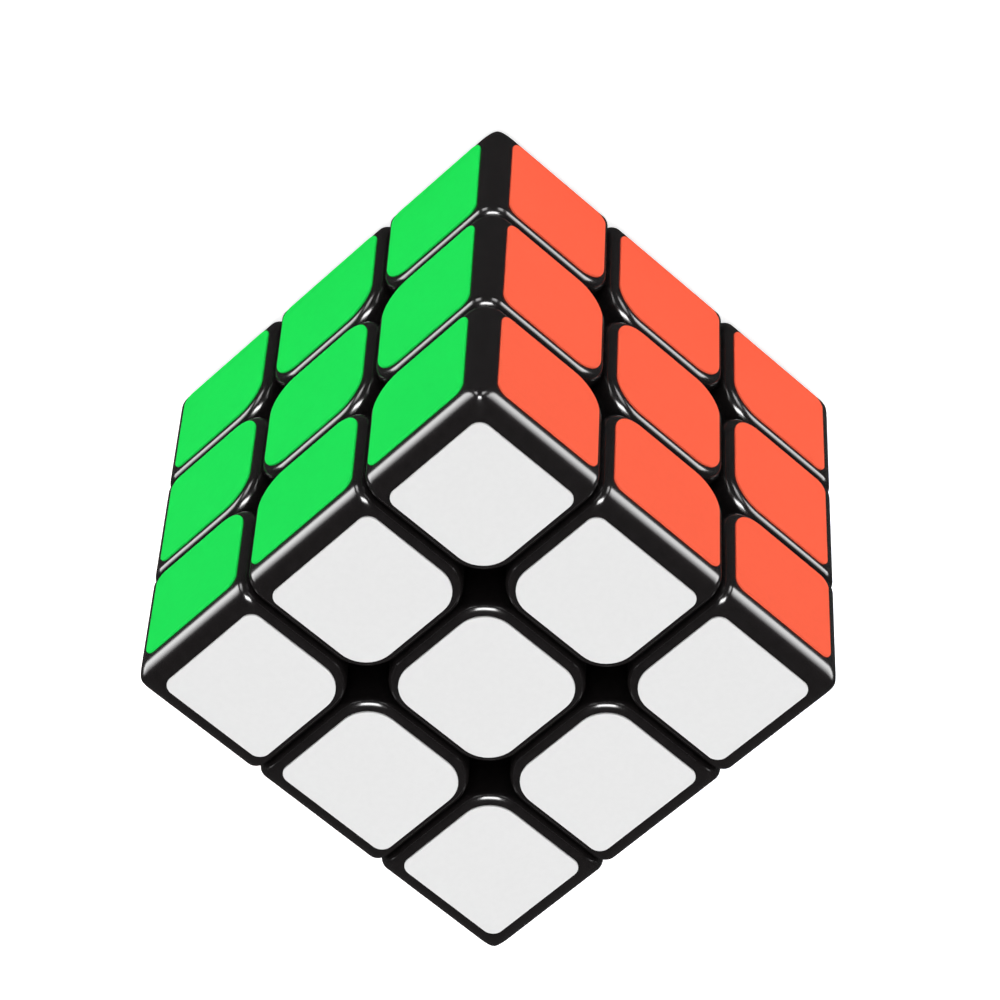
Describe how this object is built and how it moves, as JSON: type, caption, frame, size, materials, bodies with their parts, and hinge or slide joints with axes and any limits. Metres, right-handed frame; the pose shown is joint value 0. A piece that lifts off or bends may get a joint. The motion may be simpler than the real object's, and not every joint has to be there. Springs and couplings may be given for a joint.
{
  "type": "twisty puzzle cube",
  "caption": "Free-standing twisty puzzle cube whose six layers turn on a hidden core, with a coloured vinyl sticker on each small outer square.",
  "frame": {"origin": "middle of the core, where the six turning axes meet, which is also the middle of the cube", "axes": "+Z towards the white face, -Y towards the green face, -X towards the orange face; each axis is a turning axis"},
  "size_m": [0.0564, 0.0564, 0.0564],
  "materials": {
    "black_plastic": "smooth moulded black plastic, satin on the flats and shiny on the round edges",
    "steel": "zinc-plated steel screws, washers and springs",
    "white_sticker": "matt white vinyl film",
    "yellow_sticker": "matt yellow vinyl film",
    "green_sticker": "matt green vinyl film",
    "blue_sticker": "matt blue vinyl film",
    "orange_sticker": "matt orange vinyl film",
    "red_sticker": "matt red vinyl film"
  },
  "bodies": {
    "core": {"core": "black_plastic", "screw_spring_sets": "steel"},
    "centre_up": {"centre_up": "black_plastic", "centre_cap_up": "black_plastic", "centre_sticker_up": "white_sticker"},
    "centre_down": {"centre_down": "black_plastic", "centre_cap_down": "black_plastic", "centre_sticker_down": "yellow_sticker"},
    "centre_front": {"centre_front": "black_plastic", "centre_cap_front": "black_plastic", "centre_sticker_front": "green_sticker"},
    "centre_back": {"centre_back": "black_plastic", "centre_cap_back": "black_plastic", "centre_sticker_back": "blue_sticker"},
    "centre_left": {"centre_left": "black_plastic", "centre_cap_left": "black_plastic", "centre_sticker_left": "orange_sticker"},
    "centre_right": {"centre_right": "black_plastic", "centre_cap_right": "black_plastic", "centre_sticker_right": "red_sticker"},
    "edge_up_front": {"edge_up_front": "black_plastic", "edge_stickers_up_front": "white_sticker"},
    "edge_up_right": {"edge_up_right": "black_plastic", "edge_stickers_up_right": "white_sticker"},
    "edge_up_back": {"edge_up_back": "black_plastic", "edge_stickers_up_back": "white_sticker"},
    "edge_up_left": {"edge_up_left": "black_plastic", "edge_stickers_up_left": "white_sticker"},
    "edge_right_front": {"edge_right_front": "black_plastic", "edge_stickers_right_front": "red_sticker"},
    "edge_back_right": {"edge_back_right": "black_plastic", "edge_stickers_back_right": "blue_sticker"},
    "edge_left_back": {"edge_left_back": "black_plastic", "edge_stickers_left_back": "orange_sticker"},
    "edge_front_left": {"edge_front_left": "black_plastic", "edge_stickers_front_left": "green_sticker"},
    "edge_down_front": {"edge_down_front": "black_plastic", "edge_stickers_down_front": "yellow_sticker"},
    "edge_down_right": {"edge_down_right": "black_plastic", "edge_stickers_down_right": "yellow_sticker"},
    "edge_down_back": {"edge_down_back": "black_plastic", "edge_stickers_down_back": "yellow_sticker"},
    "edge_down_left": {"edge_down_left": "black_plastic", "edge_stickers_down_left": "yellow_sticker"},
    "corner_up_right_back": {"corner_up_right_back": "black_plastic", "corner_stickers_up_right_back": "white_sticker"},
    "corner_up_back_left": {"corner_up_back_left": "black_plastic", "corner_stickers_up_back_left": "white_sticker"},
    "corner_up_left_front": {"corner_up_left_front": "black_plastic", "corner_stickers_up_left_front": "white_sticker"},
    "corner_up_front_right": {"corner_up_front_right": "black_plastic", "corner_stickers_up_front_right": "white_sticker"},
    "corner_down_right_front": {"corner_down_right_front": "black_plastic", "corner_stickers_down_right_front": "yellow_sticker"},
    "corner_down_back_right": {"corner_down_back_right": "black_plastic", "corner_stickers_down_back_right": "yellow_sticker"},
    "corner_down_left_back": {"corner_down_left_back": "black_plastic", "corner_stickers_down_left_back": "yellow_sticker"},
    "corner_down_front_left": {"corner_down_front_left": "black_plastic", "corner_stickers_down_front_left": "yellow_sticker"}
  },
  "joints": [
    {"name": "up_turn", "type": "hinge", "parent": "core", "child": "centre_up", "pos_m": [0, 0, 0], "axis": [0, 0, -1], "continuous": true},
    {"name": "down_turn", "type": "hinge", "parent": "core", "child": "centre_down", "pos_m": [0, 0, 0], "axis": [0, 0, 1], "continuous": true},
    {"name": "front_turn", "type": "hinge", "parent": "core", "child": "centre_front", "pos_m": [0, 0, 0], "axis": [0, 1, 0], "continuous": true},
    {"name": "back_turn", "type": "hinge", "parent": "core", "child": "centre_back", "pos_m": [0, 0, 0], "axis": [0, -1, 0], "continuous": true},
    {"name": "left_turn", "type": "hinge", "parent": "core", "child": "centre_left", "pos_m": [0, 0, 0], "axis": [1, 0, 0], "continuous": true},
    {"name": "right_turn", "type": "hinge", "parent": "core", "child": "centre_right", "pos_m": [0, 0, 0], "axis": [-1, 0, 0], "continuous": true},
    {"name": "edge_up_front_on_front", "type": "hinge", "parent": "centre_up", "child": "edge_up_front", "pos_m": [0, 0, 0], "axis": [0, 1, 0], "continuous": true},
    {"name": "edge_up_right_on_right", "type": "hinge", "parent": "centre_up", "child": "edge_up_right", "pos_m": [0, 0, 0], "axis": [-1, 0, 0], "continuous": true},
    {"name": "edge_up_back_on_back", "type": "hinge", "parent": "centre_up", "child": "edge_up_back", "pos_m": [0, 0, 0], "axis": [0, -1, 0], "continuous": true},
    {"name": "edge_up_left_on_left", "type": "hinge", "parent": "centre_up", "child": "edge_up_left", "pos_m": [0, 0, 0], "axis": [1, 0, 0], "continuous": true},
    {"name": "edge_right_front_on_front", "type": "hinge", "parent": "centre_right", "child": "edge_right_front", "pos_m": [0, 0, 0], "axis": [0, 1, 0], "continuous": true},
    {"name": "edge_back_right_on_right", "type": "hinge", "parent": "centre_back", "child": "edge_back_right", "pos_m": [0, 0, 0], "axis": [-1, 0, 0], "continuous": true},
    {"name": "edge_left_back_on_back", "type": "hinge", "parent": "centre_left", "child": "edge_left_back", "pos_m": [0, 0, 0], "axis": [0, -1, 0], "continuous": true},
    {"name": "edge_front_left_on_left", "type": "hinge", "parent": "centre_front", "child": "edge_front_left", "pos_m": [0, 0, 0], "axis": [1, 0, 0], "continuous": true},
    {"name": "edge_down_front_on_down", "type": "hinge", "parent": "centre_front", "child": "edge_down_front", "pos_m": [0, 0, 0], "axis": [0, 0, 1], "continuous": true},
    {"name": "edge_down_right_on_down", "type": "hinge", "parent": "centre_right", "child": "edge_down_right", "pos_m": [0, 0, 0], "axis": [0, 0, 1], "continuous": true},
    {"name": "edge_down_back_on_down", "type": "hinge", "parent": "centre_back", "child": "edge_down_back", "pos_m": [0, 0, 0], "axis": [0, 0, 1], "continuous": true},
    {"name": "edge_down_left_on_down", "type": "hinge", "parent": "centre_left", "child": "edge_down_left", "pos_m": [0, 0, 0], "axis": [0, 0, 1], "continuous": true},
    {"name": "corner_up_right_back_on_up", "type": "hinge", "parent": "edge_back_right", "child": "corner_up_right_back", "pos_m": [0, 0, 0], "axis": [0, 0, -1], "continuous": true},
    {"name": "corner_up_back_left_on_up", "type": "hinge", "parent": "edge_left_back", "child": "corner_up_back_left", "pos_m": [0, 0, 0], "axis": [0, 0, -1], "continuous": true},
    {"name": "corner_up_left_front_on_up", "type": "hinge", "parent": "edge_front_left", "child": "corner_up_left_front", "pos_m": [0, 0, 0], "axis": [0, 0, -1], "continuous": true},
    {"name": "corner_up_front_right_on_up", "type": "hinge", "parent": "edge_right_front", "child": "corner_up_front_right", "pos_m": [0, 0, 0], "axis": [0, 0, -1], "continuous": true},
    {"name": "corner_down_right_front_on_right", "type": "hinge", "parent": "edge_down_front", "child": "corner_down_right_front", "pos_m": [0, 0, 0], "axis": [-1, 0, 0], "continuous": true},
    {"name": "corner_down_back_right_on_back", "type": "hinge", "parent": "edge_down_right", "child": "corner_down_back_right", "pos_m": [0, 0, 0], "axis": [0, -1, 0], "continuous": true},
    {"name": "corner_down_left_back_on_left", "type": "hinge", "parent": "edge_down_back", "child": "corner_down_left_back", "pos_m": [0, 0, 0], "axis": [1, 0, 0], "continuous": true},
    {"name": "corner_down_front_left_on_front", "type": "hinge", "parent": "edge_down_left", "child": "corner_down_front_left", "pos_m": [0, 0, 0], "axis": [0, 1, 0], "continuous": true}
  ],
  "couplings": [
    {"joint": "edge_up_front_on_front", "follows": "front_turn", "ratio": 1},
    {"joint": "edge_up_right_on_right", "follows": "right_turn", "ratio": 1},
    {"joint": "edge_up_back_on_back", "follows": "back_turn", "ratio": 1},
    {"joint": "edge_up_left_on_left", "follows": "left_turn", "ratio": 1},
    {"joint": "edge_right_front_on_front", "follows": "front_turn", "ratio": 1},
    {"joint": "edge_back_right_on_right", "follows": "right_turn", "ratio": 1},
    {"joint": "edge_left_back_on_back", "follows": "back_turn", "ratio": 1},
    {"joint": "edge_front_left_on_left", "follows": "left_turn", "ratio": 1},
    {"joint": "edge_down_front_on_down", "follows": "down_turn", "ratio": 1},
    {"joint": "edge_down_right_on_down", "follows": "down_turn", "ratio": 1},
    {"joint": "edge_down_back_on_down", "follows": "down_turn", "ratio": 1},
    {"joint": "edge_down_left_on_down", "follows": "down_turn", "ratio": 1},
    {"joint": "corner_up_right_back_on_up", "follows": "up_turn", "ratio": 1},
    {"joint": "corner_up_back_left_on_up", "follows": "up_turn", "ratio": 1},
    {"joint": "corner_up_left_front_on_up", "follows": "up_turn", "ratio": 1},
    {"joint": "corner_up_front_right_on_up", "follows": "up_turn", "ratio": 1},
    {"joint": "corner_down_right_front_on_right", "follows": "right_turn", "ratio": 1},
    {"joint": "corner_down_back_right_on_back", "follows": "back_turn", "ratio": 1},
    {"joint": "corner_down_left_back_on_left", "follows": "left_turn", "ratio": 1},
    {"joint": "corner_down_front_left_on_front", "follows": "front_turn", "ratio": 1}
  ]
}
